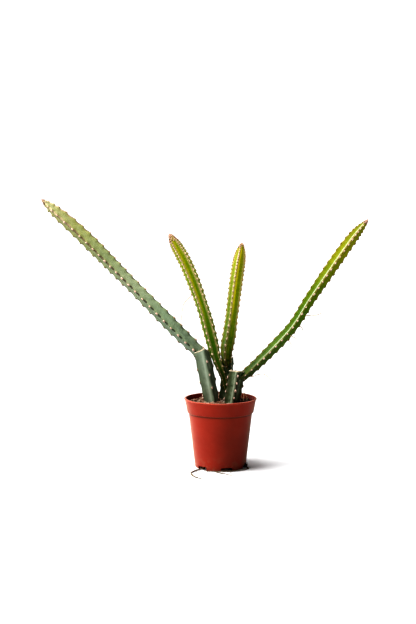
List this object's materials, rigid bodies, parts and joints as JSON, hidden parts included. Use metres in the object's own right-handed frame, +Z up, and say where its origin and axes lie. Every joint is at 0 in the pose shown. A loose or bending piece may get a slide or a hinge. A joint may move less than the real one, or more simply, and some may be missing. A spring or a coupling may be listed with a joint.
{
  "type": "potted queen of the night cactus",
  "caption": "Small round plastic nursery pot of peat with ribbed cactus cuttings whose long new stems spread left, right and upwards. It stands on its foot ring.",
  "frame": {"origin": "under the middle of the whole plant and pot, on the surface that the pot stands on", "axes": "+X to the right as seen from the front, +Y away from the front, +Z up"},
  "size_m": [0.2432, 0.0736, 0.2027],
  "materials": {
    "pot_plastic": "satin terracotta-coloured moulded plastic",
    "peat": "rough crumbly peat",
    "grey_green_skin": "satin waxy skin, grey green below and yellow green at the tip",
    "green_skin": "satin waxy skin, dark green below and yellow green at the tip",
    "yellow_green_skin": "satin waxy skin, dark green at the base and yellow green above",
    "root": "thin dry root"
  },
  "bodies": {
    "root": {"pot": "pot_plastic", "soil": "peat", "plant_left": "grey_green_skin", "plant_right": "green_skin", "plant_back": "yellow_green_skin", "root_long": "root", "root_front": "root"}
  },
  "joints": []
}
